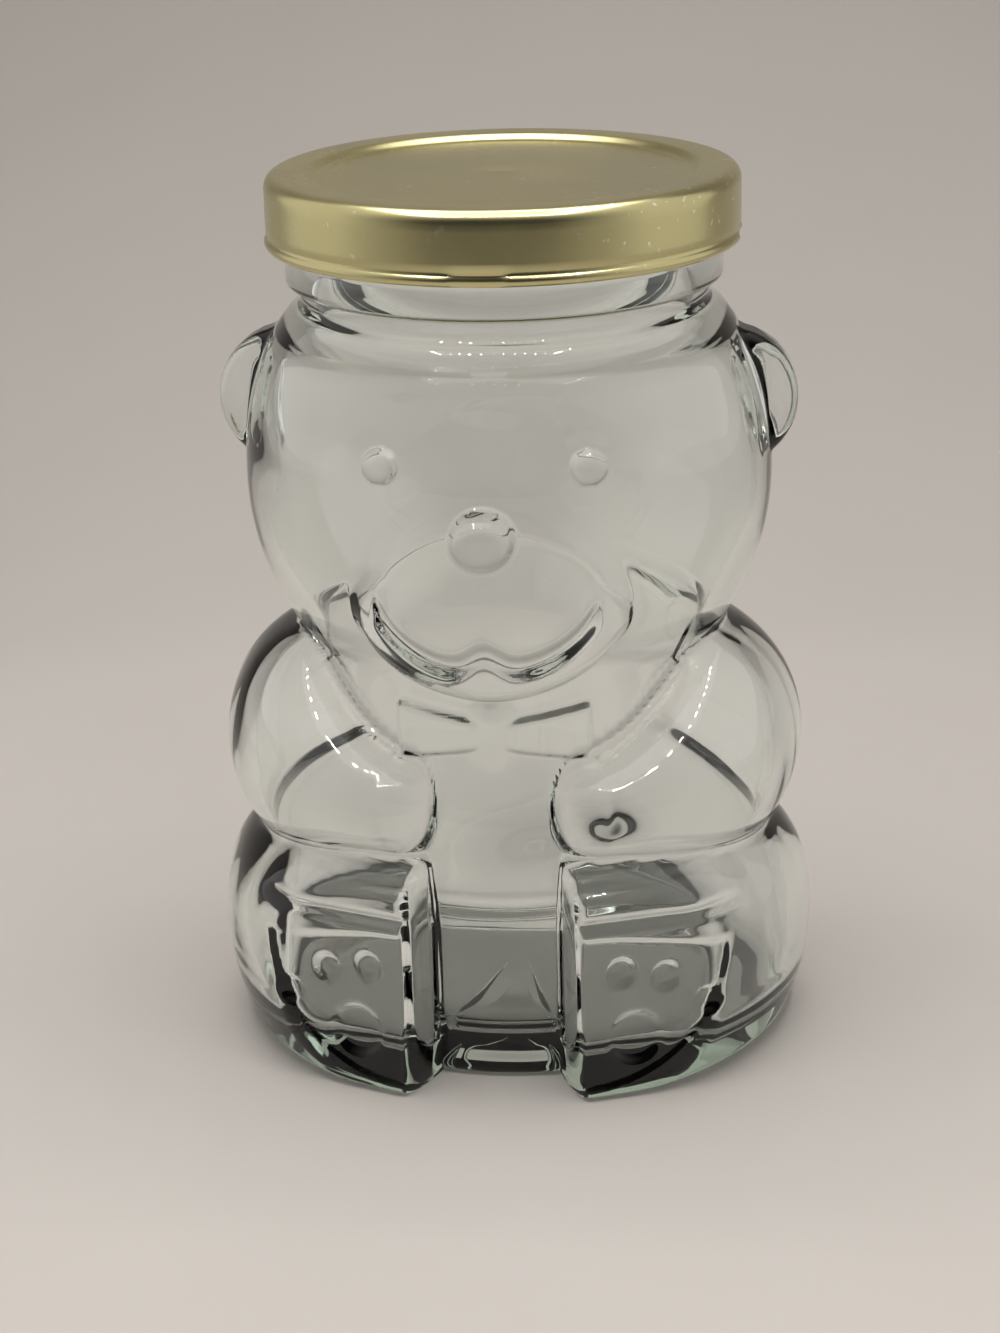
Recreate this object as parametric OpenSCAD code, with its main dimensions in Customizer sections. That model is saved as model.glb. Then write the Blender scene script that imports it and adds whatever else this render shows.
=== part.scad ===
// Clear glass honey jar moulded as a seated bear, with a twist-off metal cap and its gasket.
// Millimetres, +Z up. Origin on the table under the middle of the neck; the bear faces -Y.

/* [Finish and neck] */
// Height of the glass rim above the table
rim_z = 123.6; // [118:0.2:132]
// Radius of the mouth
bore_r = 26.2; // [24.5:0.1:26.8]
// Outer radius of the finish wall behind the threads
finish_r = 29.5; // [29.1:0.05:29.7]
// Reach of the threads beyond the finish wall
thread_out = 1.4; // [1:0.05:1.7]
// Thickness of one thread
thread_h = 1.7; // [1.3:0.1:2.2]
// Number of threads, and of lugs in the cap
thread_count = 4; // [3:1:6]
// Share of each pitch of threads that one thread spans
thread_share = 0.68; // [0.55:0.01:0.72]
// Fall of each thread from its start to its end
thread_fall = 1.3; // [0.6:0.1:1.8]
// Radius of the bead under the cap
bead_r = 30.55; // [30:0.05:31.5]
// Height of the bead
bead_h = 5; // [3:0.1:6]
// Gap left between the cap's lower edge and the top of the bead
bead_gap = 0.15; // [0.1:0.05:1]
// Outer radius of the neck below the bead
neck_r = 28.6; // [28.2:0.1:29.2]
// Height of the neck band below the bead, down into the shoulder
neck_h = 3.4; // [2.6:0.1:4.5]

/* [Cap] */
// Outer radius of the cap at its rolled edge
cap_r = 33.2; // [32.8:0.05:34]
// Height of the cap
cap_h = 10; // [9:0.1:11.5]
// Thickness of the sheet
sheet_t = 0.4; // [0.3:0.05:0.6]
// Radius of the rounded top corner
corner_r = 1.8; // [1.2:0.1:2.6]
// Set of the skirt inside the roll
skirt_in = 0.25; // [0.1:0.05:0.5]
// Depth that the centre panel is pressed in
panel_drop = 0.9; // [0.4:0.1:1.2]
// Radius of the pressed-in centre panel
panel_r = 26.2; // [22:0.2:26.6]
// Width of the sloping step round the panel
panel_step = 1.2; // [0.8:0.1:2]
// Radius of the roll along the lower edge
curl_r = 0.85; // [0.6:0.05:1]
// Width of one lug round the cap
lug_w = 7.5; // [5:0.5:10]
// Thickness of one lug
lug_t = 1.1; // [0.8:0.1:1.5]
// Clearance between a lug's tip and the finish wall
lug_play = 0.7; // [0.4:0.05:1]
// Clearance between a lug and the underside of a thread, with the cap tightened
lug_gap = 0.25; // [0.1:0.05:0.5]

/* [Gasket] */
// Thickness of the gasket over the rim
gasket_t = 1; // [0.8:0.1:1.4]
// Inner radius of the gasket
gasket_r = 27; // [26.8:0.05:27.2]
// Lip that the gasket hangs down outside the rim
gasket_lip = 0.5; // [0.2:0.1:0.8]
// Clearance round the gasket where it only lies beside metal or glass
gasket_gap = 0.1; // [0.05:0.05:0.3]

/* [Head] */
// Width of the head
head_w = 74.8; // [70:0.2:80]
// Depth of the head in front of the neck's axis
head_front = 34; // [32:0.2:36]
// Depth of the head behind the neck's axis
head_back = 35.2; // [33:0.2:37]
// Height of the middle of the head
head_z = 82.5; // [80:0.5:85]
// Half height of the upper head's egg
head_up = 36; // [34:0.5:40]
// Half height of the lower head's egg
head_down = 38; // [36:0.5:42]
// Radius of an ear
ear_r = 10; // [8:0.2:11]
// Height of the middle of the ears
ear_z = 92.8; // [90:0.2:95]
// Distance of the middle of each ear from the axis
ear_x = 31; // [30:0.2:32.5]
// Thickness of an ear, front to back
ear_t = 7; // [5:0.2:9]
// Depth of the dish in each ear's front
ear_dish = 1.4; // [0.4:0.1:2]

/* [Face] */
// Distance between the eyes
eye_span = 27.8; // [22:0.2:32]
// Height of the eyes
eye_z = 90.7; // [88:0.2:93]
// Radius of an eye
eye_r = 2.3; // [1.8:0.1:3]
// Height of an eye above the face
eye_h = 1.2; // [0.6:0.1:1.8]
// Radius of the shallow socket round an eye
socket_r = 5.2; // [4:0.1:6.5]
// Depth of the socket
socket_d = 0.5; // [0.2:0.1:0.9]
// Width of the muzzle where it leaves the face
muzzle_w = 46; // [40:0.5:48]
// Height of the muzzle's fullest part
muzzle_z = 71.5; // [70:0.2:74]
// Rise of the muzzle above that
muzzle_up = 18; // [15:0.2:20]
// Fall of the muzzle below that
muzzle_down = 14; // [12:0.2:15]
// Reach of the muzzle from the axis
muzzle_y = 37.8; // [36:0.1:39]
// Radius of the nose
nose_r = 5.6; // [4.5:0.1:6.5]
// Height of the middle of the nose
nose_z = 81.6; // [80:0.2:84]
// Reach of the nose from the axis
nose_y = 38.6; // [37.5:0.1:40]
// Height of the lowest part of the smile
smile_z = 63.9; // [62.5:0.1:65.5]
// Half width of the smile
smile_w = 15.8; // [12:0.1:17]
// Rise of the smile's ends
smile_rise = 7; // [4:0.1:8]
// Depth of the smile's groove
smile_d = 1.5; // [0.6:0.1:2]
// Rise of the small point in the middle of the smile
smile_cusp = 2.3; // [0.5:0.1:3]

/* [Body] */
// Half width of the trunk
trunk_x = 33; // [31:0.2:34.5]
// Reach of the trunk's front at the chest
trunk_front = 31; // [30:0.2:32]
// Reach of the trunk's back
trunk_back = 35.5; // [34:0.2:37]
// Height of the top of the trunk, inside the head
trunk_top = 61; // [58:0.5:64]
// Reach of the belly between the paws
belly_y = 34; // [33:0.1:35]
// Height of the middle of the belly
belly_z = 40; // [38:0.2:42]
// Half height of the belly
belly_hh = 14.5; // [12:0.5:17]
// Half height of the bow tie
tie_hh = 4.6; // [3.5:0.1:5.5]
// Height of the middle of the bow tie
tie_z = 52; // [51:0.1:53]
// Half width of the bow tie
tie_w = 15.2; // [11:0.1:17]
// Depth of the bow tie's relief
tie_d = 1.5; // [0.6:0.1:2.2]
// Reach of the arms at the sides
arm_x = 42; // [40:0.2:44]
// Height of the middle of the arm at the side
arm_z = 43.4; // [42:0.2:45]
// Half height of the arm at the side
arm_hh = 17.6; // [16:0.2:19]
// Reach of the paws in front
paw_r = 38; // [36.8:0.1:39]
// Height of the middle of the paw
paw_z = 41; // [40:0.2:42]
// Half height of the paw
paw_hh = 7.6; // [6.4:0.1:8.4]
// Angle from the front to the tip of each paw
paw_tip = 14.4; // [12:0.2:17]
// Reach of the legs at the sides
leg_x = 43.7; // [42:0.1:45.5]
// Height of the fullest part of the leg
leg_z = 15.5; // [14:0.2:17]
// Rise of the leg above that
leg_up = 18.6; // [17:0.2:20]
// Half height of the egg that the leg's lower part belongs to
leg_down = 24; // [22:0.5:28]
// Reach of the hips behind the axis
hip_back = 37.4; // [36:0.2:39]

/* [Feet and base] */
// Distance of each sole from the axis, square to the sole
sole_y = 39.2; // [38:0.1:40.4]
// Angle that each sole is turned outward
sole_turn = 20; // [14:1:26]
// Angle from the front to the inner side of each foot
foot_in = 17.3; // [14:0.1:19]
// Height of the top of the feet
foot_h = 26.2; // [24:0.2:28]
// Depth of the crease over each foot
ankle_d = 1.1; // [0.4:0.1:2]
// Depth that the sole is set in, inside its rim
rim_d = 0.5; // [0.2:0.1:0.9]
// Depth of the toe and heel pads pressed into the soles
pad_d = 0.8; // [0.3:0.1:1.2]
// Reach of the base between the feet
crotch_y = 29.8; // [28.6:0.1:31]
// Radius of the rounding round the base
heel_r = 2; // [1.2:0.1:4]
// Width of the flat ring that the jar stands on
stand_w = 3.4; // [2.4:0.1:5]
// Radius of the push-up under the middle
push_r = 19; // [14:0.5:22]
// Height of the push-up
push_up = 2.2; // [1:0.1:3.5]
// Thickness of the glass in the middle of the base
base_t = 4.6; // [3.5:0.1:7]
// Thickness of the wall
wall_t = 3.4; // [2.8:0.1:4]

/* [Hidden] */
glass = [0.82, 0.9, 0.86, 0.45];
gold = [0.83, 0.76, 0.5];
compound = [0.93, 0.91, 0.84];

// Levels, from the cap down
cap_top = rim_z + gasket_t + sheet_t;
cap_low = cap_top - cap_h;
curl_z = cap_low + curl_r;
lug_top = curl_z + lug_t / 2;
bead_top = cap_low - bead_gap;
bead_low = bead_top - bead_h;
neck_low = bead_low - neck_h;

// The moulded body meets the neck in a ring inside the neck's wall
join_z = bead_low - 1.6;
join_out = neck_r - 1;
join_in = bore_r + 0.7;
shoulder_h = 3;
waist_r = bore_r + 0.4;
waist_z = neck_low - 1.9;
waist_h = 6;

// Radius that the limbs grow from, inside the trunk
core_r = 27;
// Height of the valley between the belly and the feet
valley_z = 29;
// Radii at which widths across the face and the tie are measured
face_r = 36.5;
chest_r = trunk_front + 1;
// Sole, measured along it from its nearest point to the axis: inner edge, width, height of its widest part
sole_in = -0.4;
sole_w = 21.3;
sole_mid = 23.5;
// Toe and heel pads, each with its place along and up the sole, and its radius
pad_list = [[17.6, 13.6, 2.2], [11.5, 18, 2.4], [4.9, 19.3, 2.4], [7, 9.2, 4.5]];
// Widths of the blends between masses, outside and inside the glass
blend = 1.2;
soft_blend = 4;
fine_blend = 0.8;

function clamp01(x) = min(1, max(0, x));
function ease(x) = let (c = clamp01(x)) c * c * (3 - 2 * c);
function mix(a, b, w) = a + (b - a) * w;
function arc(u2) = sqrt(max(0, 1 - u2));
function sq(x) = x * x;
function bell(x) = exp(-sq(x));
function smax(a, b, k) = max(a, b) + sq(max(0, k - abs(a - b))) / (4 * k);
function smin(a, b, k) = -smax(-a, -b, k);
function bump(u2) = sq(max(0, 1 - u2));
function fold(a) = a > 180 ? 360 - a : a;
function oval(a, x, y) = 1 / sqrt(sq(sin(a) / x) + sq(cos(a) / y));

// Large masses, each as the distance from the axis at angle a from the front and height z
function head(a, z) =
    let (s = z > head_z ? arc(pow((z - head_z) / head_up, 2.5)) : arc(sq((z - head_z) / head_down)),
         size = max(0.02, s),
         round_off = ease((z - ear_z) / (join_z - ear_z)),
         depth = mix(a < 90 ? head_front : head_back, head_w / 2, round_off))
    oval(a, head_w / 2 * size, depth * size);

function neck_blend(z, r) =
    let (w = ease((z - join_z + shoulder_h) / shoulder_h))
    mix(r, join_out, w * w);

function belly(a, z) =
    trunk_front + (belly_y - trunk_front) * bump(sq((z - belly_z) / belly_hh) + sq(a / 38));

function trunk(a, z) =
    let (height = max(0, (z - 30) / (trunk_top - 30)),
         size = max(0.05, pow(arc(pow(height, 3)), 0.8)),
         low = ease((valley_z - z) / 5),
         arch = 0.7 * bump(sq((z - valley_z + 3.4) / 3)),
         front = mix(belly(a, z), crotch_y + arch, low),
         back = mix(trunk_back, hip_back, ease((valley_z - 3 - z) / 12)))
    oval(a, trunk_x * size, (a < 90 ? front : back) * size);

function arm(a, z) =
    let (t = ease((a - 22) / 56),
         half = mix(paw_hh, arm_hh, t),
         mid = mix(paw_z, arm_z, t),
         front_reach = mix(paw_r, arm_x, ease((a - 16) / 60)),
         reach = mix(front_reach, trunk_back - 3, ease((a - 88) / 44)),
         tip = max(0, paw_tip + 12.6 - a) / 12.6)
    core_r + (reach - core_r) * arc(sq((z - mid) / half) + sq(tip));

// 1 along a foot, rounding off to 0 at the side that faces the other foot
function foot_side(a) = arc(sq(clamp01((foot_in + 2.6 - a) / 3.2)));

function leg(a, z) =
    let (front = ease((62 - a) / 18),
         up = pow(max(0, (z - leg_z) / leg_up), mix(2.6, 4, front)),
         down = sq(max(0, (leg_z - z) / leg_down)),
         reach = mix(leg_x, hip_back - 1.5, ease((a - 85) / 60)),
         lobe = core_r + (reach - core_r) * arc(up + down),
         sole = a < 70 ? sole_y / cos(a - sole_turn) : reach * 2)
    mix(core_r, smin(lobe, sole, fine_blend), foot_side(a));

function muzzle(a, z) =
    let (low = z < muzzle_z,
         u2 = sq(face_r * sin(a) / (muzzle_w / 2)) + sq((z - muzzle_z) / (low ? muzzle_down : muzzle_up)),
         power = mix(0.8, 0.42, ease((muzzle_z + 4 - z) / 8)),
         root = core_r + 2)
    a > 60 ? 0 : root + (muzzle_y - root) * pow(max(0, 1 - u2), power);

// Relief pressed into or raised from the large masses
function socket(a, z) =
    let (d2 = sq(head_front * sin(a) - eye_span / 2) + sq(z - eye_z))
    a > 60 ? 0 : -socket_d * bump(d2 / sq(socket_r));

function smile(a, z) =
    let (x = face_r * sin(a),
         line = smile_z + smile_rise * pow(x / smile_w, 2.6) + smile_cusp * bell(x / 2.8))
    a > 40 ? 0 : -smile_d * bell((z - line) / 1.5) * ease((smile_w + 1 - x) / 2.5);

function tie(a, z) =
    let (x = chest_r * sin(a),
         off = abs(z - tie_z),
         knot = bump(sq(x / (tie_w * 0.32)) + pow(off / (tie_hh + 1), 4)),
         flare = mix(0.5, 1, clamp01(x / tie_w)),
         wing = ease((tie_w - x) / 1.6) * ease((tie_hh * flare - off) / 1.2))
    a > 40 ? 0 : tie_d * max(knot, 0.75 * wing);

function ankle(a, z) =
    -ankle_d * bell((z - foot_h - 0.7) / 0.8) * ease((a - foot_in) / 3) * ease((56 - a) / 12);

// The sole is set in behind a rim, in the shape of a D: straight on top and inside, round outside
function sole_inset(a, z) =
    let (x = a > 60 ? 99 : sole_y * tan(a - sole_turn),
         top = foot_h - 1.4 - 2.4 * ease(x / sole_w),
         drop = max(0, sole_mid - z),
         round_d = sole_w * (1 - norm([(x - sole_in) / sole_w, drop / sole_mid * 1.09])),
         inside = min(round_d, top - z, x - sole_in))
    a < foot_in || a > 54 ? 0 : -rim_d * ease(inside / 0.9 + 0.5);

function heel(z) = z >= heel_r ? 0 : heel_r * (1 - arc(sq(1 - z / heel_r)));

// The body without its fine relief
function masses(a, z, k) =
    let (upper = smax(head(a, z), muzzle(a, z), k),
         lower = smax(trunk(a, z), leg(a, z), k))
    neck_blend(z, smax(smax(upper, lower, k), arm(a, z), 1.6 * k));

function outer_r(angle, z) =
    let (a = fold(angle),
         relief = socket(a, z) + smile(a, z) + tie(a, z) + sole_inset(a, z) + ankle(a, z))
    masses(a, z, blend) + relief - heel(z);

function inner_r(angle, z) =
    let (w = ease((z - waist_z + waist_h) / waist_h))
    mix(masses(fold(angle), z, soft_blend) - wall_t, waist_r, w * w);

// Columns run round the body from the front, closer over the face and at the feet's sides
function steps(from, to, n) = [for (i = [0:n - 1]) from + (to - from) * i / n];
half_cols = concat(
    steps(0, foot_in - 0.9, 5),
    [foot_in - 0.9, foot_in + 0.9],
    steps(foot_in + 3, 48, 11),
    steps(48, 100, 12),
    steps(100, 180, 8),
    [180]
);
n_half = len(half_cols) - 1;
cols = concat(
    [for (i = [0:n_half - 1]) half_cols[i]],
    [for (i = [n_half:-1:1]) 360 - half_cols[i]]
);
n_col = len(cols);

// Rows run down the body, closer over the face, the creases and the soles
rows = concat(
    steps(join_z, ear_z + ear_r, 4),
    steps(ear_z + ear_r, head_z + 2, 7),
    steps(head_z + 2, tie_z + 6, 16),
    steps(tie_z + 6, tie_z - 6, 8),
    steps(tie_z - 6, foot_h + 6, 6),
    steps(foot_h + 6, foot_h - 1, 6),
    steps(foot_h - 1, heel_r, 9),
    [heel_r, heel_r * 0.5, heel_r * 0.15, 0]
);
n_row = len(rows);
function spot(r, angle, z) = [r * sin(angle), -r * cos(angle), z];
outer_pts = [for (z = rows, a = cols) spot(z == join_z ? join_out : outer_r(a, z), a, z)];
foot_ring = [for (a = cols) spot(outer_r(a, 0) - stand_w, a, 0)];
push_ring = [for (a = cols) spot(push_r, a, push_up * 0.75)];

// The hollow, with half as many columns
in_cols = [for (i = [0:2:n_col - 1]) cols[i]];
n_in = len(in_cols);
in_corner = 6;
in_bend = [25, 50, 72];
in_z = base_t + in_corner;
in_rows = concat(
    steps(in_z, foot_h + 4, 6),
    steps(foot_h + 4, tie_z + 6, 7),
    steps(tie_z + 6, waist_z, 12),
    [waist_z]
);
inner_pts = concat(
    [for (t = in_bend, a = in_cols)
        spot(inner_r(a, in_z) - in_corner * (1 - sin(t)), a, in_z - in_corner * cos(t))],
    [for (z = in_rows, a = in_cols) spot(inner_r(a, z), a, z)],
    [for (a = in_cols) spot(join_in, a, join_z)]
);
n_in_row = len(in_bend) + len(in_rows) + 1;

function next(j, n) = (j + 1) % n;
// Two triangles for each cell of a grid that closes on itself, cut the way that bends the wall less
function grid(reach, first, count, n) = [for (i = [0:count - 1], j = [0:n - 1], h = [0, 1])
    let (p = first + i * n + j,
         q = first + i * n + next(j, n),
         level = abs(reach[p] - reach[q + n]) < abs(reach[q] - reach[p + n]))
    h == 0 ? [p, q, level ? q + n : p + n] : [level ? p : q, q + n, p + n]];

module glass_body() {
    push_start = (n_row + 1) * n_col;
    under = push_start + n_col;
    floor_mid = under + 1;
    in_start = floor_mid + 1;
    in_end = in_start + (n_in_row - 1) * n_in;
    points = concat(outer_pts, foot_ring, push_ring, [[0, 0, push_up]], [[0, 0, base_t + push_up]], inner_pts);
    reach = [for (p = points) norm([p[0], p[1]])];
    polyhedron(
        points = points,
        faces = concat(
            grid(reach, 0, n_row + 1, n_col),
            [for (j = [0:n_col - 1]) [push_start + j, push_start + next(j, n_col), under]],
            [for (j = [0:n_in - 1]) [floor_mid, in_start + next(j, n_in), in_start + j]],
            grid(reach, in_start, n_in_row - 1, n_in),
            // Ring inside the neck, two outer points to each inner one
            [for (j = [0:n_in - 1], h = [0:2])
                let (a = in_end + j, b = in_end + next(j, n_in), mid = 2 * j + 1)
                h == 0 ? [a, mid, 2 * j] : h == 1 ? [a, b, mid] : [b, (2 * j + 2) % n_col, mid]]
        ),
        convexity = 12
    );
}

module finish() {
    lip = 1.1;
    round_r = 0.9;
    inside = join_in - 1.2;
    difference() {
        rotate_extrude($fn = 120) polygon([
            [inside, neck_low - 1],
            [neck_r, neck_low - 1],
            [neck_r, bead_low],
            [bead_r - round_r, bead_low],
            [bead_r, bead_low + round_r],
            [bead_r, bead_top - round_r],
            [bead_r - round_r, bead_top],
            [finish_r, bead_top],
            [finish_r, rim_z - lip],
            [finish_r - lip, rim_z],
            [inside, rim_z]
        ]);
        translate([0, 0, neck_low - 3]) cylinder(r = bore_r, h = rim_z, $fn = 120);
    }
}

// One thread, a bar that falls as it runs clockwise and fades out at both ends
module thread(n) {
    pitch = 360 / thread_count;
    span = pitch * thread_share;
    rings = 10;
    root_r = finish_r - 0.6;
    crest_r = finish_r + thread_out;
    bevel = 0.35;
    section = [[root_r, 0], [crest_r, bevel], [crest_r, thread_h - bevel], [root_r, thread_h]];
    m = len(section);
    points = [for (i = [0:rings], s = section)
        let (t = i / rings,
             a = n * pitch - (pitch - span) / 2 - span * t,
             r = s[0] > finish_r ? mix(finish_r - 0.3, s[0], min(1, 6 * min(t, 1 - t))) : s[0])
        [r * cos(a), r * sin(a), lug_top + lug_gap + thread_fall * (1 - t) + s[1]]];
    polyhedron(points = points, faces = concat(
        [[for (k = [0:m - 1]) k]],
        [for (i = [0:rings - 1], k = [0:m - 1], h = [0, 1])
            let (p = i * m + k, q = i * m + next(k, m))
            h == 0 ? [p, p + m, q] : [q, p + m, q + m]],
        [[for (k = [m - 1:-1:0]) rings * m + k]]
    ));
}

// Round dishes for the toes and heel, pressed into a sole
module pads() {
    for (p = pad_list) {
        ball = (sq(p[2]) + sq(pad_d)) / (2 * pad_d);
        translate([p[0], -(sole_y - rim_d - pad_d + ball), p[1]]) sphere(r = ball, $fn = 60);
    }
}

module eye() {
    a = asin(eye_span / 2 / head_front);
    translate(spot(head(a, eye_z) - eye_r + eye_h, a, eye_z)) sphere(r = eye_r, $fn = 40);
}

module nose() {
    root_y = nose_y - 0.8 * nose_r;
    intersection() {
        translate([0, nose_r - nose_y, nose_z]) sphere(r = nose_r, $fn = 60);
        translate([-nose_r, -nose_y - 1, nose_z - nose_r]) cube([2 * nose_r, nose_y + 1 - root_y, 2 * nose_r]);
    }
}

// A disc with a round rim and a dished front, which starts inside the wall of the head
module ear() {
    rim = ear_t / 2;
    flat_r = ear_r - rim;
    bury = 1.3;
    translate([ear_x, 0, ear_z]) rotate([90, 0, 0]) difference() {
        rotate_extrude($fn = 72) {
            translate([0, -rim]) square([flat_r, ear_t]);
            translate([flat_r, 0]) circle(r = rim, $fn = 48);
        }
        dish_ball = (sq(flat_r) + sq(ear_dish)) / (2 * ear_dish);
        translate([0, 0, rim - ear_dish + dish_ball]) sphere(r = dish_ball, $fn = 120);
        translate([-ear_x, head_z + 2.2 - ear_z, 0]) sphere(r = head_w / 2 - bury, $fn = 120);
    }
}

module glass_jar() {
    color(glass) union() {
        difference() {
            glass_body();
            rotate([0, 0, sole_turn]) pads();
            mirror([1, 0, 0]) rotate([0, 0, sole_turn]) pads();
        }
        finish();
        for (n = [0:thread_count - 1]) thread(n);
        nose();
        for (side = [0, 1]) mirror([side, 0, 0]) {
            eye();
            ear();
        }
    }
}

// Half section of the cap's outside, set in by t
module cap_outline(t, low) {
    wall = cap_r - skirt_in;
    hub = wall - corner_r;
    slope_in = t > 0 ? 0.2 : 0;
    polygon([
        [0, cap_top - panel_drop - t],
        [panel_r + slope_in, cap_top - panel_drop - t],
        [panel_r + panel_step + slope_in, cap_top - t],
        [hub, cap_top - t],
        [hub, cap_top - corner_r],
        [wall - t, cap_top - corner_r],
        [wall - t, low],
        [0, low]
    ]);
    translate([hub, cap_top - corner_r]) circle(r = corner_r - t, $fn = 48);
}

module lid_shell() {
    lug_r = finish_r + lug_play;
    lug_angle = lug_w / cap_r * 180 / PI;
    color(gold) union() {
        rotate_extrude($fn = 160) difference() {
            cap_outline(0, curl_z);
            cap_outline(sheet_t, curl_z - 1);
        }
        rotate_extrude($fn = 160) translate([cap_r - curl_r, curl_z]) circle(r = curl_r, $fn = 32);
        for (n = [0:thread_count - 1])
            rotate([0, 0, n * 360 / thread_count - lug_angle / 2])
                rotate_extrude(angle = lug_angle, $fn = 160)
                    translate([lug_r, curl_z - lug_t / 2]) square([cap_r - curl_r - lug_r, lug_t]);
    }
}

module lid_gasket() {
    out = cap_r - skirt_in - corner_r - gasket_gap;
    slope_in = panel_r + 0.2;
    slope_z = cap_top - panel_drop - sheet_t + panel_drop * (gasket_r - slope_in) / panel_step;
    color(compound) rotate_extrude($fn = 120) polygon([
        [gasket_r, rim_z],
        [finish_r + gasket_gap, rim_z],
        [finish_r + 3 * gasket_gap, rim_z - gasket_lip],
        [out - 0.3, rim_z - gasket_lip],
        [out, rim_z],
        [out, rim_z + gasket_t],
        [slope_in + panel_step + gasket_gap, rim_z + gasket_t],
        [gasket_r, slope_z - gasket_gap]
    ]);
}

glass_jar();
lid_shell();
lid_gasket();
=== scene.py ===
"""Glass bear jar with a gold twist-off cap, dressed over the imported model.

The jar is one closed skin of glass: rows of points run from the middle of the base, up the outside,
over the rim and down the inside. Angles are in degrees from the front (-Y) of the bear. The sizes of
the pieces and of the sweep are in millimetres until a mesh is made; lamps are placed in metres.
"""
import math

import bpy
import numpy as np
from mathutils import Matrix, Vector


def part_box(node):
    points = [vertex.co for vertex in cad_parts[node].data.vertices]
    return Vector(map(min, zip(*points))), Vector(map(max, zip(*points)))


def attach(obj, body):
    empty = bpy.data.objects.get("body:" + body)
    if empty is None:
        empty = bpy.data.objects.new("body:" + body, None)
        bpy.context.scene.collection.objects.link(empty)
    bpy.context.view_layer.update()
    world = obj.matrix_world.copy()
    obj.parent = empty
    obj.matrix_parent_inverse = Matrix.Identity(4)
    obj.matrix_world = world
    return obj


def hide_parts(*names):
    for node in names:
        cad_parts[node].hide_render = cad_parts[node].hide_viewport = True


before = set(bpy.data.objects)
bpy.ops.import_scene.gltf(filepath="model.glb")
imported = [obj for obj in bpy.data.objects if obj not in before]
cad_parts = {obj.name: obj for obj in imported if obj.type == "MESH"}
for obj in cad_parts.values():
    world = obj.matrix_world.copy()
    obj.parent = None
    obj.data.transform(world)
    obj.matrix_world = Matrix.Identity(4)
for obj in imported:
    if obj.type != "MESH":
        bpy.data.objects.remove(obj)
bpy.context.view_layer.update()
MM = 0.001

# Heights and reach taken from the frame
RIM_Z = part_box("glass_jar")[1][2] / MM
SHELL_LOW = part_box("lid_shell")[0][2] / MM
CAP_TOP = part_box("lid_shell")[1][2] / MM
CAP_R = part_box("lid_shell")[1][0] / MM

# Finish, bead and neck
BORE_R = 26.2
FINISH_R = 29.5
NECK_R = 28.6
BEAD_R = 30.55
BEAD_TOP = SHELL_LOW - 0.15
BEAD_LOW = BEAD_TOP - 5
BEAD_ROUND = 0.9
NECK_FOOT = 0.5
JOIN_Z = BEAD_LOW - 1.6
JOIN_BLEND = 3
JOIN_SINK = 1
NECK_START = 6
NECK_ROUND = 0.8
RIM_ROUND = 1.1
BORE_DROP = 2
THREAD_ROWS_FROM = 0.1

# Threads: four starts, each in the quarter between two lugs of the open cap
THREAD_COUNT = 4
THREAD_SPAN = 61.2
THREAD_OUT = 1.4
THREAD_H = 1.7
THREAD_FALL = 1.3
THREAD_LOW = SHELL_LOW + 1.65
THREAD_EDGE = 0.35
THREAD_TAPER = 6
LUG_PLACE = 90
TURN = 360

# Wall and base
CORE_R = 27.0
WALL = 3.4
BASE_T = 4.6
HEEL_R = 2.0
STAND_W = 3.4
PUSH_R = 19.0
PUSH_UP = 2.2
PUSH_FALL = 0.25
FLOOR_CORNER = 6.0
FLOOR_CORNER_TURN = 75
FLOOR_EASE = 1.2
LEAST_R = 0.05

# Head and ears
HEAD_HALF = 37.4
HEAD_FRONT = 34.0
HEAD_BACK = 35.2
HEAD_Z = 82.5
HEAD_UP = 36.0
HEAD_DOWN = 38.0
CROWN_POWER = 2.5
HEAD_LEAST = 0.02
EAR_R = 10.0
EAR_X = 31.0
EAR_Z = 92.8
EAR_T = 7.0
EAR_RIM = 1.9
EAR_DISH = 1.5
EAR_DISH_POWER = 0.8
EAR_AT = 90
EAR_SPAN = 9
EAR_FROM = 33.0
EAR_PAST = 0.2
EAR_STEP = 0.04
EAR_FACE_X = 34
DISH_BACK = 7
DISH_BACK_EASE = 3
DISH_FRONT_EASE = 2.5

# Face
FACE_R = 36.5
FACE_TO = 60
EYE_X = 13.9
EYE_Z = 90.7
EYE_R = 2.4
EYE_H = 1.2
SOCKET_R = 5.4
SOCKET_D = 0.5
MUZZLE_HALF = 23.0
MUZZLE_Z = 71.5
MUZZLE_UP = 18.0
MUZZLE_DOWN = 14.0
MUZZLE_Y = 37.8
MUZZLE_ROOT = 2
MUZZLE_TURN = 4
MUZZLE_TOP_POWER = 0.8
MUZZLE_LOW_POWER = 0.42
NOSE_HALF = 5.8
NOSE_UP = 5.0
NOSE_Z = 81.6
NOSE_Y = 38.5
SMILE_Z = 63.9
SMILE_HALF = 15.8
SMILE_RISE = 7.0
SMILE_POWER = 2.6
SMILE_D = 1.5
SMILE_LINE = 1.5
SMILE_END = 1
SMILE_FADE = 2.5
SMILE_CUSP = 2.3
CUSP_HALF = 2.8

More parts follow.
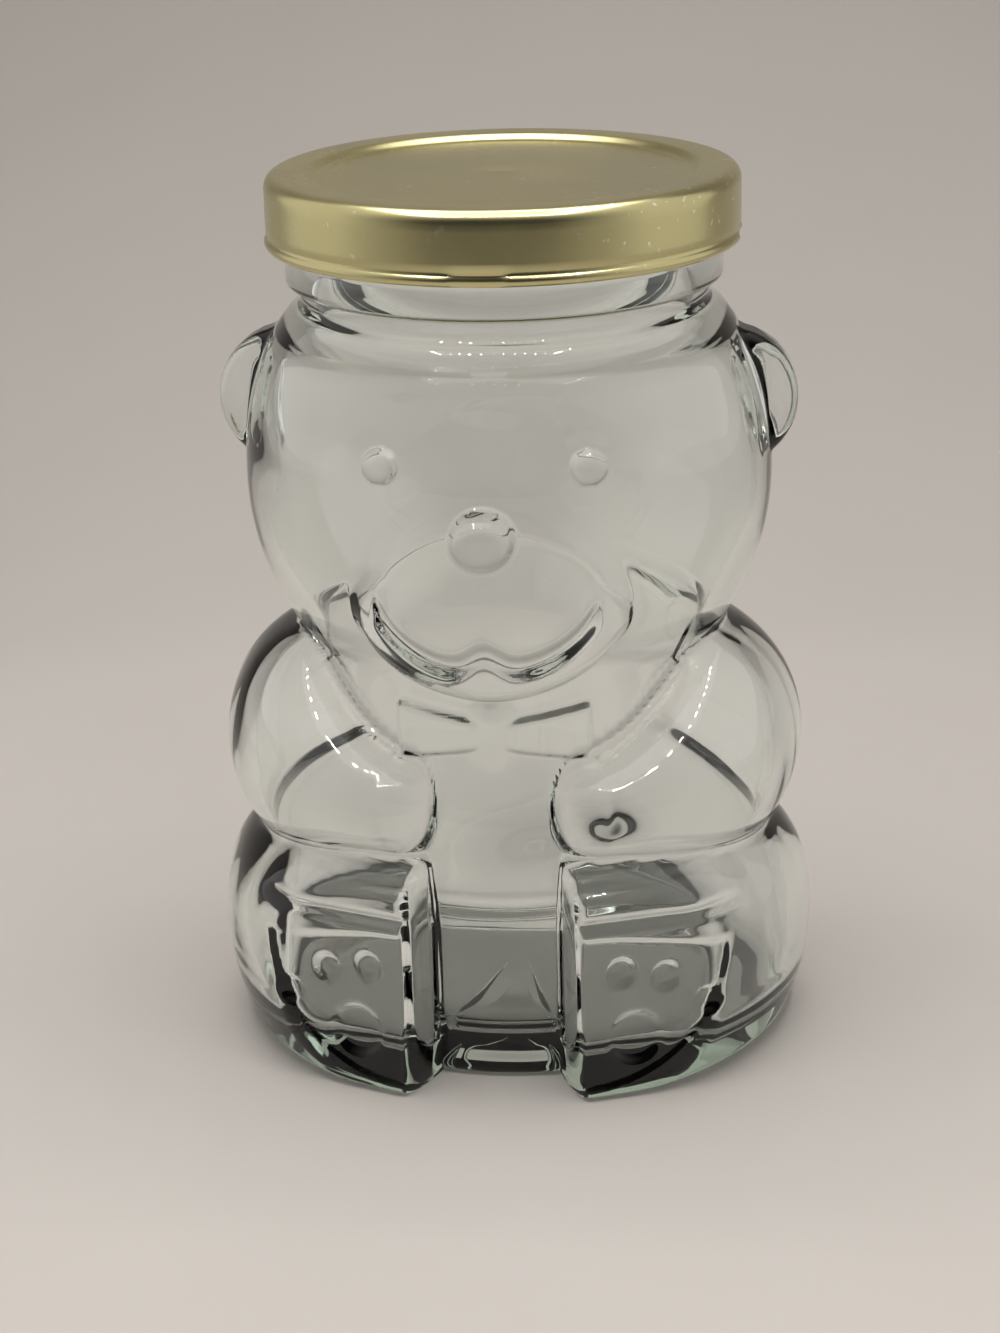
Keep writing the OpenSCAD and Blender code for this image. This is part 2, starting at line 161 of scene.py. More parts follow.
# Trunk, belly and bow tie
CHEST_R = 32.0
CHEST_TO = 40
TRUNK_X = 33.0
TRUNK_FRONT = 31.0
TRUNK_BACK = 35.5
TRUNK_MID = 30
TRUNK_TOP = 61.0
TRUNK_POWER = 3
TRUNK_ROUND = 0.8
TRUNK_LEAST = 0.05
BELLY_Y = 34.0
BELLY_Z = 40.0
BELLY_HALF = 14.5
BELLY_SPAN = 38
VALLEY_Z = 29.0
VALLEY_EASE = 5
CROTCH_Y = 29.8
ARCH_OUT = 0.7
ARCH_DROP = 3.4
ARCH_HALF = 3
TIE_Z = 52.0
TIE_UP = 4.6
TIE_HALF = 15.2
TIE_D = 1.5
TIE_NARROW = 0.5
TIE_END = 1.6
TIE_EDGE = 1.2
WING_SHARE = 0.75
KNOT_SHARE = 0.32
KNOT_UP = 1

# Arms, thin at the paws and full at the sides; each pair is a start and a span in degrees
ARM_X = 42.0
ARM_Z = 43.4
ARM_UP = 17.6
ARM_GROWS = (22, 56)
ARM_REACHES = (16, 60)
ARM_FADES = (88, 44)
ARM_SINK = 3
ARM_BLEND = 1.6
PAW_R = 38.0
PAW_Z = 41.0
PAW_UP = 7.6
PAW_TIP = 14.4
PAW_ROUND = 12.6

# Legs and hips
LEG_X = 43.6
LEG_Z = 15.5
LEG_UP = 18.6
LEG_DOWN = 24.0
LEG_FRONT_TO = 62
LEG_FRONT_EASE = 18
LEG_SIDE_POWER = 2.6
LEG_FRONT_POWER = 4
HIP_BACK = 37.3
HIP_SINK = 1.5
HIP_FADES = (85, 60)
HIP_DROP = 3
HIP_EASE = 12

# Soles: flat, turned outward, each with a rim in the shape of a D and four pads
SOLE_Y = 39.2
SOLE_TURN = 20.0
SOLE_TO = 70
SOLE_OUT = 54
SOLE_BLEND = 0.8
SOLE_LEAST_COS = 0.2
SOLE_WIDEST = 80
SOLE_FAR = 99
SOLE_IN = -0.4
SOLE_W = 21.3
SOLE_MID = 23.5
SOLE_STRETCH = 1.09
SOLE_TOP_GAP = 1.4
SOLE_TOP_FALL = 2.4
RIM_D = 0.5
RIM_EDGE = 0.9
FOOT_IN = 17.3
FOOT_SIDE = 2.6
FOOT_SIDE_SPAN = 3.2
FOOT_H = 26.2
ANKLE_D = 1.1
ANKLE_RISE = 0.7
ANKLE_HALF = 0.8
ANKLE_START = 3
ANKLE_TO = 56
ANKLE_FADE = 12
PAD_D = 0.8
PAD_EDGE = 1.6
# Place along the sole, height and radius of each pad
PADS = ((17.6, 13.6, 2.2), (11.5, 18.0, 2.4), (4.9, 19.3, 2.4), (7.0, 9.2, 4.5))

# Blends of the outside and of the softer inside
BLEND = 1.2
NOSE_BLEND = 0.8
EAR_BLEND = 0.6
SOFT_BLEND = 4
MOUTH_EASE_DROP = 9.7
MOUTH_EASE = 6
# Waves of the inner wall: height, turns round the jar, turn per millimetre of height, start
RIPPLES = ((0.16, 3, 0.11, 0.6), (0.12, 5, -0.17, 2.1), (0.1, 2, 0.31, 0), (0.05, 9, 0.23, 1.3))
RIPPLE_GAP = 4
RIPPLE_FADE = 20

# Runs of columns (degrees) and of body rows (height): start, end and count
COLUMN_RUNS = ((0, 15.5, 28), (15.5, 20.5, 16), (20.5, 48, 50), (48, 81, 34), (81, 99, 50), (99, 180, 40))
BODY_RUNS = ((HEEL_R, 24, 44), (24, 34, 28), (34, 45, 20), (45, 57, 34), (57, 97, 110),
             (97, BEAD_LOW - BEAD_ROUND, 26))

# Cap and gasket
CURL_R = 0.85
SHEET_T = 0.4
CORNER_R = 1.8
PANEL_R = 26.2
PANEL_STEP = 1.2
PANEL_DROP = 0.9
PANEL_CROWN = 0.12
PANEL_RINGS = (0.05, 6, 12, 17, 21, 24, 25.4)
PANEL_EDGE = 0.2
UNDER_RING = 12
SHOULDER_FLAT = (2.4, 1.2)
SHOULDER_GAP = 1
CURL_OUT_GAP = 1.3
CURL_IN_GAP = 1.1
CURL_TURN = (60, -200)
SKIRT_IN = 0.25
CAP_COLUMNS = 288
LUG_COUNT = 4
LUG_ANGLE = 13.0
LUG_EASE = 2.4
LUG_IN = 1.25
LUG_DENT = 0.45
CURL_EASE = 0.8
CURL_START = 0.3
CURL_ABOVE = 0.2
CURL_FROM_R = 30
GASKET_COLUMNS = 144
GASKET_IN = 27.0
GASKET_T = 1.0
GASKET_DIP = 0.45
GASKET_LIP = 0.5
GASKET_GAP = 0.1
GASKET_OUT_ROUND = 0.3
GASKET_SIDE = 0.6
# Radii where the flat on the rim and the bulge past it start and end
GASKET_FLAT = (28.2, 29.6)
GASKET_BULGE = (29.8, 30.3)
GASKET_TOP = (29.4, 27.75)
GASKET_TOP_SAG = 0.97


# Curves that shape the glass
def sin_d(a):
    return np.sin(np.radians(a))


def cos_d(a):
    return np.cos(np.radians(a))


def ease(x):
    """Smooth rise from 0 to 1."""
    c = np.clip(x, 0, 1)
    return c * c * (3 - 2 * c)


def mix(a, b, w):
    return a + (b - a) * w


def arc(u2):
    """Height of a unit circle, from the square of the place along it."""
    return np.sqrt(np.maximum(0, 1 - u2))


def bell(x):
    return np.exp(-x * x)


def bump(u2):
    return np.maximum(0, 1 - u2) ** 2


def smax(a, b, k):
    """The greater of two, with a fillet as wide as k."""
    return np.maximum(a, b) + np.maximum(0, k - np.abs(a - b)) ** 2 / (4 * k)


def smin(a, b, k):
    return -smax(-a, -b, k)


def grow(a, start_and_span):
    start, span = start_and_span
    return ease((a - start) / span)


def fold(angle):
    """Both halves of the bear are alike, so an angle folds to 0 to 180."""
    a = np.mod(angle, TURN)
    return np.where(a > TURN / 2, TURN - a, a)


def oval(a, x, y):
    return 1 / np.sqrt((sin_d(a) / x) ** 2 + (cos_d(a) / y) ** 2)


# Masses of the bear, each as its reach from the axis
def head(a, z):
    up = arc(np.maximum(0, (z - HEAD_Z) / HEAD_UP) ** CROWN_POWER)
    down = arc(((z - HEAD_Z) / HEAD_DOWN) ** 2)
    size = np.maximum(HEAD_LEAST, np.where(z > HEAD_Z, up, down))
    round_off = ease((z - EAR_Z) / (JOIN_Z - EAR_Z))
    depth = mix(np.where(a < 90, HEAD_FRONT, HEAD_BACK), HEAD_HALF, round_off)
    return oval(a, HEAD_HALF * size, depth * size)


def trunk(a, z):
    taper = np.maximum(0, (z - TRUNK_MID) / (TRUNK_TOP - TRUNK_MID)) ** TRUNK_POWER
    size = np.maximum(TRUNK_LEAST, arc(taper) ** TRUNK_ROUND)
    crown = bump(((z - BELLY_Z) / BELLY_HALF) ** 2 + (a / BELLY_SPAN) ** 2)
    belly = TRUNK_FRONT + (BELLY_Y - TRUNK_FRONT) * crown
    arch = ARCH_OUT * bump(((z - VALLEY_Z + ARCH_DROP) / ARCH_HALF) ** 2)
    front = mix(belly, CROTCH_Y + arch, ease((VALLEY_Z - z) / VALLEY_EASE))
    back = mix(TRUNK_BACK, HIP_BACK, ease((VALLEY_Z - HIP_DROP - z) / HIP_EASE))
    return oval(a, TRUNK_X * size, np.where(a < 90, front, back) * size)


def arm(a, z):
    t = grow(a, ARM_GROWS)
    half = mix(PAW_UP, ARM_UP, t)
    mid = mix(PAW_Z, ARM_Z, t)
    front_reach = mix(PAW_R, ARM_X, grow(a, ARM_REACHES))
    reach = mix(front_reach, TRUNK_BACK - ARM_SINK, grow(a, ARM_FADES))
    tip = np.maximum(0, PAW_TIP + PAW_ROUND - a) / PAW_ROUND
    return CORE_R + (reach - CORE_R) * arc(((z - mid) / half) ** 2 + tip ** 2)


def leg(a, z):
    front = ease((LEG_FRONT_TO - a) / LEG_FRONT_EASE)
    up = np.maximum(0, (z - LEG_Z) / LEG_UP) ** mix(LEG_SIDE_POWER, LEG_FRONT_POWER, front)
    down = np.maximum(0, (LEG_Z - z) / LEG_DOWN) ** 2
    reach = mix(LEG_X, HIP_BACK - HIP_SINK, grow(a, HIP_FADES))
    lobe = CORE_R + (reach - CORE_R) * arc(up + down)
    plane = SOLE_Y / np.maximum(SOLE_LEAST_COS, cos_d(a - SOLE_TURN))
    sole = np.where(a < SOLE_TO, plane, 2 * reach)
    side = arc(np.clip((FOOT_IN + FOOT_SIDE - a) / FOOT_SIDE_SPAN, 0, 1) ** 2)
    return mix(CORE_R, smin(lobe, sole, SOLE_BLEND), side)


def muzzle(a, z):
    height = (z - MUZZLE_Z) / np.where(z < MUZZLE_Z, MUZZLE_DOWN, MUZZLE_UP)
    u2 = (FACE_R * sin_d(a) / MUZZLE_HALF) ** 2 + height ** 2
    lower = ease((MUZZLE_Z + MUZZLE_TURN - z) / (2 * MUZZLE_TURN))
    power = mix(MUZZLE_TOP_POWER, MUZZLE_LOW_POWER, lower)
    root = CORE_R + MUZZLE_ROOT
    return np.where(a > FACE_TO, 0, root + (MUZZLE_Y - root) * np.maximum(0, 1 - u2) ** power)


def nose(a, z):
    u2 = (NOSE_Y * sin_d(a) / NOSE_HALF) ** 2 + ((z - NOSE_Z) / NOSE_UP) ** 2
    return np.where(a > FACE_TO, 0, CORE_R + (NOSE_Y - CORE_R) * arc(u2 * u2))


def ear(a, z):
    """Reach of a disc with a rounded rim: the last point of each ray that lies in it."""
    near = (np.abs(a - EAR_AT) < EAR_SPAN) & (np.abs(z - EAR_Z) < EAR_R)
    out = np.zeros(a.shape)
    ray_a = a[near]
    ray_z = z[near]
    for r in np.arange(EAR_FROM, EAR_X + EAR_R + EAR_PAST, EAR_STEP):
        rho = np.hypot(r * sin_d(ray_a) - EAR_X, ray_z - EAR_Z)
        thinned = arc(np.clip((rho - EAR_R + EAR_RIM) / EAR_RIM, 0, 1) ** 2)
        half_t = EAR_T / 2 - EAR_RIM * (1 - thinned)
        inside = (rho < EAR_R) & (np.abs(r * cos_d(ray_a)) < half_t)
        out[near] = np.where(inside, r, out[near])
    return out


def masses(a, z, k):
    upper = smax(head(a, z), muzzle(a, z), k)
    lower = smax(trunk(a, z), leg(a, z), k)
    r = smax(smax(upper, lower, k), arm(a, z), ARM_BLEND * k)
    w = ease((z - JOIN_Z + JOIN_BLEND) / JOIN_BLEND)
    return mix(r, NECK_R - JOIN_SINK, w * w)


# Relief on the bear, each as a height above or below the masses
def eyes(a, z):
    d2 = (HEAD_FRONT * sin_d(a) - EYE_X) ** 2 + (z - EYE_Z) ** 2
    dome = (EYE_H + SOCKET_D) * arc(d2 / EYE_R ** 2)
    return np.where(a > FACE_TO, 0, dome - SOCKET_D * bump(d2 / SOCKET_R ** 2))


def smile(a, z):
    x = FACE_R * sin_d(a)
    curve = SMILE_RISE * np.abs(x / SMILE_HALF) ** SMILE_POWER
    line = SMILE_Z + curve + SMILE_CUSP * bell(x / CUSP_HALF)
    groove = -SMILE_D * bell((z - line) / SMILE_LINE) * ease((SMILE_HALF + SMILE_END - x) / SMILE_FADE)
    return np.where(a > CHEST_TO, 0, groove)


def tie(a, z):
    x = CHEST_R * sin_d(a)
    off = np.abs(z - TIE_Z)
    knot = bump((x / (TIE_HALF * KNOT_SHARE)) ** 2 + (off / (TIE_UP + KNOT_UP)) ** 4)
    flare = mix(TIE_NARROW, 1, np.clip(x / TIE_HALF, 0, 1))
    wing = ease((TIE_HALF - x) / TIE_END) * ease((TIE_UP * flare - off) / TIE_EDGE)
    return np.where(a > CHEST_TO, 0, TIE_D * np.maximum(knot, WING_SHARE * wing))


def ankles(a, z):
    line = -ANKLE_D * bell((z - FOOT_H - ANKLE_RISE) / ANKLE_HALF)
    return line * ease((a - FOOT_IN) / ANKLE_START) * ease((ANKLE_TO - a) / ANKLE_FADE)


def soles(a, z):
    turned = np.clip(a - SOLE_TURN, -SOLE_WIDEST, SOLE_WIDEST)
    x = np.where(a > FACE_TO, SOLE_FAR, SOLE_Y * np.tan(np.radians(turned)))
    top = FOOT_H - SOLE_TOP_GAP - SOLE_TOP_FALL * ease(x / SOLE_W)
    drop = np.maximum(0, SOLE_MID - z) / SOLE_MID * SOLE_STRETCH
    edge = SOLE_W * (1 - np.hypot((x - SOLE_IN) / SOLE_W, drop))
    inside = np.minimum(np.minimum(edge, top - z), x - SOLE_IN)
    inset = -RIM_D * ease(inside / RIM_EDGE + 0.5)
    for pad_x, pad_z, pad_r in PADS:
        u2 = ((x - pad_x) / pad_r) ** 2 + ((z - pad_z) / pad_r) ** 2
        inset = inset - PAD_D * ease(PAD_EDGE * (1 - u2))
    return np.where((a < FOOT_IN) | (a > SOLE_OUT), 0, inset)


def heel(z):
    return HEEL_R * (1 - arc(np.clip(1 - z / HEEL_R, 0, 1) ** 2))


def outer(angle, z):
    a = fold(angle)
    r = smax(masses(a, z, BLEND), nose(a, z), NOSE_BLEND)
    r = r + eyes(a, z) + smile(a, z) + tie(a, z) + (ankles(a, z) + soles(a, z))
    r = smax(r, ear(a, z), EAR_BLEND)
    return smax(r - heel(z), np.where(z > JOIN_Z - NECK_START, NECK_R, 0), NECK_ROUND)


def ripple(angle, z):
    """Slow waves that blowing leaves on the inside of the wall."""
    t = np.radians(angle)
    return sum(size * np.sin(turns * t + rise * z + start) for size, turns, rise, start in RIPPLES)


def inner(angle, z):
    a = fold(angle)
    w = ease((z - JOIN_Z + MOUTH_EASE_DROP) / MOUTH_EASE)
    waves = ripple(angle, z) * ease((JOIN_Z - RIPPLE_GAP - z) / RIPPLE_FADE)
    return mix(masses(a, z, SOFT_BLEND) - WALL + waves, BORE_R, w * w)


def thread(angle, z):
    """Height of the threads above the finish wall."""
    pitch = TURN / THREAD_COUNT
    turn = np.mod(LUG_PLACE - angle + 2 * TURN + pitch / 2, pitch) - pitch / 2
    run = np.mod(-turn + pitch, pitch)
    t = (run - (pitch - THREAD_SPAN) / 2) / THREAD_SPAN
    start = THREAD_LOW + THREAD_FALL * (1 - t)
    foot = ease((z - start) / THREAD_EDGE + 0.5)
    crest = ease((start + THREAD_H - z) / THREAD_EDGE + 0.5)
    return THREAD_OUT * (foot * crest) * ease(THREAD_TAPER * t) * ease(THREAD_TAPER * (1 - t))


# Meshes from rows of points round the axis
def steps(start, end, n):
    return np.linspace(start, end, max(2, n), endpoint=False)


def joined(runs, fine):
    return np.concatenate([steps(start, end, int(n * fine)) for start, end, n in runs])


def columns(fine):
    half = np.append(joined(COLUMN_RUNS, fine), TURN / 2)
    return np.concatenate([half, TURN - half[-2:0:-1]])


def less_cos(t):
    return 1 - math.cos(math.radians(t))


def less_sin(t):
    return 1 - math.sin(math.radians(t))


class Skin:
    """Rows of radius and height, one value for each column."""

    def __init__(self, cols):
        self.cols = cols
        self.zero = np.zeros(cols.shape)
        self.rows = []

    def ring(self, r, z):
        self.rows.append((r + self.zero, z + self.zero))

    def follow(self, reach, z):
        self.ring(reach(self.cols, self.zero + z), z)

    def mesh(self, name, flip=False):
        radius = np.array([r for r, _ in self.rows])
        height = np.array([z for _, z in self.rows])
        return skin_piece(name, radius, height, self.cols, flip)


def add_base(skin, fine):
    """The push-up, the ring that the jar stands on and the heel."""
    edge = outer(skin.cols, skin.zero)
    for t in steps(0, 1, int(8 * fine)):
        skin.ring(max(LEAST_R, PUSH_R * t), PUSH_UP * (1 - PUSH_FALL * t * t))
    for t in steps(0, 1, int(6 * fine)):
        skin.ring(mix(PUSH_R, edge - STAND_W, t), PUSH_UP * (1 - PUSH_FALL) * (1 - ease(t)))
    for t in steps(0, 1, 3):
        skin.ring(edge - STAND_W * (1 - t), 0)
    for t in steps(0, 90, int(8 * fine)):
        skin.follow(outer, HEEL_R * less_cos(t))


def add_finish(skin, fine):
    """The support bead, the threaded wall and the rim."""
    for t in steps(0, 90, 5):
        skin.ring(NECK_R + NECK_FOOT * less_cos(t), BEAD_LOW - NECK_FOOT * less_sin(t))
    for t in steps(-90, 0, 6):
        skin.ring(BEAD_R - BEAD_ROUND * less_cos(t), BEAD_LOW + BEAD_ROUND * less_sin(-t))
    for t in steps(0, 90, 6):
        skin.ring(BEAD_R - BEAD_ROUND * less_cos(t), BEAD_TOP - BEAD_ROUND * less_sin(t))
    for z in steps(BEAD_TOP + THREAD_ROWS_FROM, RIM_Z - RIM_ROUND, int(34 * fine)):
        skin.ring(FINISH_R + thread(skin.cols, skin.zero + z), z)
    mid = (FINISH_R + BORE_R) / 2
    half = (FINISH_R - BORE_R) / 2
    for t in steps(0, 180, 14):
        turn = math.radians(t)
        skin.ring(mid + half * math.cos(turn), RIM_Z - RIM_ROUND + RIM_ROUND * math.sin(turn))


def add_inside(skin, fine):
    """The bore, the inner wall and the inner floor."""
    corner_z = BASE_T + FLOOR_CORNER
    for z in steps(RIM_Z - RIM_ROUND, JOIN_Z - BORE_DROP, int(12 * fine)):
        skin.ring(BORE_R, z)
    for z in steps(JOIN_Z - BORE_DROP, corner_z, int(110 * fine)):
        skin.follow(inner, z)
    wall = inner(skin.cols, skin.zero + BASE_T + FLOOR_CORNER)
    for t in steps(0, FLOOR_CORNER_TURN, int(10 * fine)):
        skin.ring(wall - FLOOR_CORNER * less_cos(t), BASE_T + FLOOR_CORNER * less_sin(t))
    last_r, last_z = skin.rows[-1]
    floor_top = BASE_T + PUSH_UP
    for t in steps(0, 1, int(12 * fine)):
        height = mix(last_z, floor_top + skin.zero, ease(t * FLOOR_EASE))
        skin.ring(np.maximum(LEAST_R, last_r * (1 - t)), height)


def skin_piece(name, radius, height, cols, flip):
    """A closed mesh, capped at its first and last row."""
    angle = np.radians(cols)[None, :]
    points = np.stack([radius * np.sin(angle), -radius * np.cos(angle), height], -1).reshape(-1, 3)
    index = np.arange(radius.size).reshape(radius.shape)
    a, d = index[:-1], index[1:]
    b, c = np.roll(a, -1, 1), np.roll(d, -1, 1)
    quads = np.stack([d, c, b, a] if flip else [a, b, c, d], -1).reshape(-1, 4)
    faces = quads.tolist() + [index[0][::-1].tolist(), index[-1].tolist()]
    return mesh_piece(name, points, faces)


def mesh_piece(name, points, faces):
    mesh = bpy.data.meshes.new(name)
    mesh.from_pydata((np.asarray(points) * MM).tolist(), [], faces)
    mesh.validate()
    mesh.shade_smooth()
    piece = bpy.data.objects.new(name, mesh)
    bpy.context.scene.collection.objects.link(piece)
    return piece


def dish_ears(points):
    """Presses a shallow dish into the front of each ear."""
    x, y, z = np.abs(points[:, 0]), points[:, 1], points[:, 2]
    rho = np.hypot(x - EAR_X, z - EAR_Z) / (EAR_R - EAR_RIM)
    depth = EAR_DISH * np.maximum(0, 1 - rho ** 2) ** EAR_DISH_POWER
    weight = ease((y + DISH_BACK) / DISH_BACK_EASE) * ease(-y / DISH_FRONT_EASE) * (x > EAR_FACE_X)
    points[:, 1] += depth * weight
    return points


def make_jar():
    fine = 1.0
    skin = Skin(columns(fine))
    add_base(skin, fine)
    for z in joined(BODY_RUNS, fine):
        skin.follow(outer, z)
    add_finish(skin, fine)
    add_inside(skin, fine)
    jar = skin.mesh("jar_glass")
    co = np.empty(len(jar.data.vertices) * 3)
    jar.data.vertices.foreach_get("co", co)
    points = dish_ears(co.reshape(-1, 3) / MM)
    jar.data.vertices.foreach_set("co", (points * MM).ravel())
    jar.data.update()
    return jar


def turned(centre_r, centre_z, radius, t):
    """Point of a circle in the section of the cap."""
    return (centre_r + radius * math.cos(math.radians(t)), centre_z + radius * math.sin(math.radians(t)))


def cap_profile():
    """Outside of the cap from the middle of its panel to the roll, and back up the inside."""
    wall = CAP_R - SKIRT_IN
    hub = wall - CORNER_R
    inner_r = CORNER_R - SHEET_T
    curl_x = CAP_R - CURL_R
    curl_z = SHELL_LOW + CURL_R
    shoulder_z = CAP_TOP - CORNER_R
    under = CAP_TOP - PANEL_DROP - SHEET_T
    pts = [(r, CAP_TOP - PANEL_DROP + PANEL_CROWN * (1 - (r / PANEL_R) ** 2)) for r in PANEL_RINGS]
    for t in np.linspace(0, 1, 9):
        r = PANEL_R - PANEL_EDGE + (PANEL_STEP + 2 * PANEL_EDGE) * t
        pts.append((r, CAP_TOP - PANEL_DROP * (1 - ease(t))))
    pts += [(hub - flat, CAP_TOP) for flat in SHOULDER_FLAT]
    for t in np.linspace(90, 0, 9):
        pts.append((hub + CORNER_R * math.cos(math.radians(t)), CAP_TOP - CORNER_R * less_sin(t)))
    pts += [(wall, z) for z in np.linspace(shoulder_z - SHOULDER_GAP, curl_z + CURL_OUT_GAP, 6)]
    pts += [turned(curl_x, curl_z, CURL_R, t) for t in np.linspace(*CURL_TURN, 22)]
    pts += [(wall - SHEET_T, z) for z in np.linspace(curl_z + CURL_IN_GAP, shoulder_z, 6)]
    pts += [turned(hub, shoulder_z, inner_r, t) for t in np.linspace(0, 90, 7)]
    pts += [(PANEL_R + PANEL_STEP, CAP_TOP - SHEET_T), (PANEL_R - PANEL_EDGE, under)]
    pts += [(UNDER_RING, under), (LEAST_R, under)]
    return pts


def make_cap():
    cols = np.linspace(0, TURN, CAP_COLUMNS, endpoint=False)
    profile = cap_profile()
    radius = np.repeat([[r] for r, _ in profile], len(cols), 1).astype(float)
    height = np.repeat([[z] for _, z in profile], len(cols), 1).astype(float)
    apart = TURN / LUG_COUNT
    off = np.abs(np.mod(cols - LUG_PLACE + apart / 2, apart) - apart / 2)
    lug = ease((LUG_ANGLE / 2 + LUG_EASE / 2 - off) / LUG_EASE)[None, :]
    curl_x = CAP_R - CURL_R
    on_curl = (height < SHELL_LOW + 2 * CURL_R + CURL_ABOVE) & (radius > CURL_FROM_R)
    inside = on_curl * ease((curl_x - radius) / CURL_EASE + CURL_START)
    outside = on_curl * ease((radius - curl_x) / CURL_EASE)
    radius = radius - lug * (inside * LUG_IN + outside * LUG_DENT)
    return skin_piece("cap_shell", radius, height, cols, flip=True)


def gasket_profile():
    """Section of the compound, flat on the rim and bulging past it on the outside."""
    out = CAP_R - SKIRT_IN - CORNER_R - GASKET_GAP
    below = RIM_Z - GASKET_DIP
    top = RIM_Z + GASKET_T
    lower = [(GASKET_IN, RIM_Z)] + [(r, RIM_Z) for r in GASKET_FLAT]
    bulge = [(GASKET_BULGE[0], below), (GASKET_BULGE[1], RIM_Z - GASKET_LIP), (out - GASKET_OUT_ROUND, below)]
    outside = [(out, RIM_Z), (out, RIM_Z + GASKET_SIDE), (out - GASKET_GAP, top)]
    upper = [(GASKET_TOP[0], top), (GASKET_TOP[1], RIM_Z + GASKET_TOP_SAG), (GASKET_IN, RIM_Z + GASKET_DIP)]
    return lower + bulge + outside + upper


def make_gasket():
    profile = gasket_profile()
    n = len(profile)
    m = GASKET_COLUMNS
    angle = np.radians(np.linspace(0, TURN, m, endpoint=False))
    points = [(r * math.sin(t), -r * math.cos(t), z) for r, z in profile for t in angle]
    faces = []
    for i in range(n):
        low, high = i * m, (i + 1) % n * m
        for j in range(m):
            k = (j + 1) % m
            faces.append([low + j, low + k, high + k, high + j])
    return mesh_piece("gasket_ring", points, faces)


# Materials
def new_material(name):
    mat = bpy.data.materials.new(name)
    mat.use_nodes = True
    nodes = mat.node_tree.nodes
    return mat, nodes, mat.node_tree.links, nodes["Principled BSDF"]


def noise(nodes, links, scale, detail):
    node = nodes.new("ShaderNodeTexNoise")
    node.inputs["Scale"].default_value = scale
    node.inputs["Detail"].default_value = detail
    where = nodes.new("ShaderNodeTexCoord")
    links.new(where.outputs["Object"], node.inputs["Vector"])
    return node.outputs["Fac"]


def map_range(nodes, links, source, from_range, to_range):
    node = nodes.new("ShaderNodeMapRange")
    names = ("From Min", "From Max", "To Min", "To Max")
    for name, value in zip(names, from_range + to_range):
        node.inputs[name].default_value = value
    links.new(source, node.inputs["Value"])
    return node.outputs["Result"]


def ramp(nodes, links, source, colors, places=(0.0, 1.0)):
    """A two-colour ramp over a value."""
    node = nodes.new("ShaderNodeValToRGB")
    for element, color, place in zip(node.color_ramp.elements, colors, places):
        element.position = place
        element.color = (*color, 1)
    links.new(source, node.inputs["Fac"])
    return node.outputs["Color"]


def glass_material():
    """Clear glass, faintly green in depth, with a thin film and slow waves."""
    mat, nodes, links, shader = new_material("clear_glass")
    shader.inputs["Base Color"].default_value = (0.985, 0.995, 0.99, 1)
    shader.inputs["IOR"].default_value = 1.51
    shader.inputs["Transmission Weight"].default_value = 1.0
    film = map_range(nodes, links, noise(nodes, links, 60, 4), (0.45, 0.8), (0.0, 0.035))
    links.new(film, shader.inputs["Roughness"])
    height = nodes.new("ShaderNodeBump")
    height.inputs["Strength"].default_value = 0.05
    height.inputs["Distance"].default_value = 0.0006
    links.new(noise(nodes, links, 90, 2), height.inputs["Height"])
    links.new(height.outputs["Normal"], shader.inputs["Normal"])
    tint = nodes.new("ShaderNodeVolumeAbsorption")
    tint.inputs["Color"].default_value = (0.78, 0.93, 0.84, 1)
    tint.inputs["Density"].default_value = 26.0
    links.new(tint.outputs["Volume"], nodes["Material Output"].inputs["Volume"])
    return mat


def gold_material():
    """Gold lacquer on tinplate, clouded, with pale specks where it is worn."""
    mat, nodes, links, shader = new_material("gold_lacquer")
    shader.inputs["Metallic"].default_value = 1.0
    clouds = noise(nodes, links, 35, 5)
    lacquer = ramp(nodes, links, clouds, ((0.56, 0.51, 0.26), (0.68, 0.62, 0.34)), (0.3, 0.75))
    worn = nodes.new("ShaderNodeMath")
    worn.operation = "MULTIPLY"
    speck = map_range(nodes, links, noise(nodes, links, 900, 2), (0.66, 0.72), (0.0, 1.0))
    patch = map_range(nodes, links, noise(nodes, links, 45, 3), (0.52, 0.62), (0.0, 1.0))
    links.new(speck, worn.inputs[0])
    links.new(patch, worn.inputs[1])
    blend = nodes.new("ShaderNodeMix")
    blend.data_type = "RGBA"
    blend.inputs["B"].default_value = (0.86, 0.84, 0.72, 1)
    links.new(worn.outputs[0], blend.inputs["Factor"])
    links.new(lacquer, blend.inputs["A"])
    links.new(blend.outputs["Result"], shader.inputs["Base Color"])
    links.new(map_range(nodes, links, clouds, (0.3, 0.8), (0.2, 0.34)), shader.inputs["Roughness"])
    return mat


def gasket_material():
    mat, nodes, links, shader = new_material("gasket_compound")
    shader.inputs["Roughness"].default_value = 0.6
    grain = noise(nodes, links, 400, 3)
    color = ramp(nodes, links, grain, ((0.62, 0.6, 0.52), (0.8, 0.78, 0.7)))
    links.new(color, shader.inputs["Base Color"])
    return mat


def sweep_material():
    mat, nodes, links, shader = new_material("sweep_vinyl")
    shader.inputs["Roughness"].default_value = 0.55
    shader.inputs["Specular IOR Level"].default_value = 0.2
    grain = noise(nodes, links, 14, 3)
    color = ramp(nodes, links, grain, ((0.56, 0.53, 0.505), (0.6, 0.57, 0.545)))
    links.new(color, shader.inputs["Base Color"])
    return mat


def dress(piece, material, body, node):
    piece.data.materials.append(material)
    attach(piece, body)
    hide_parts(node)


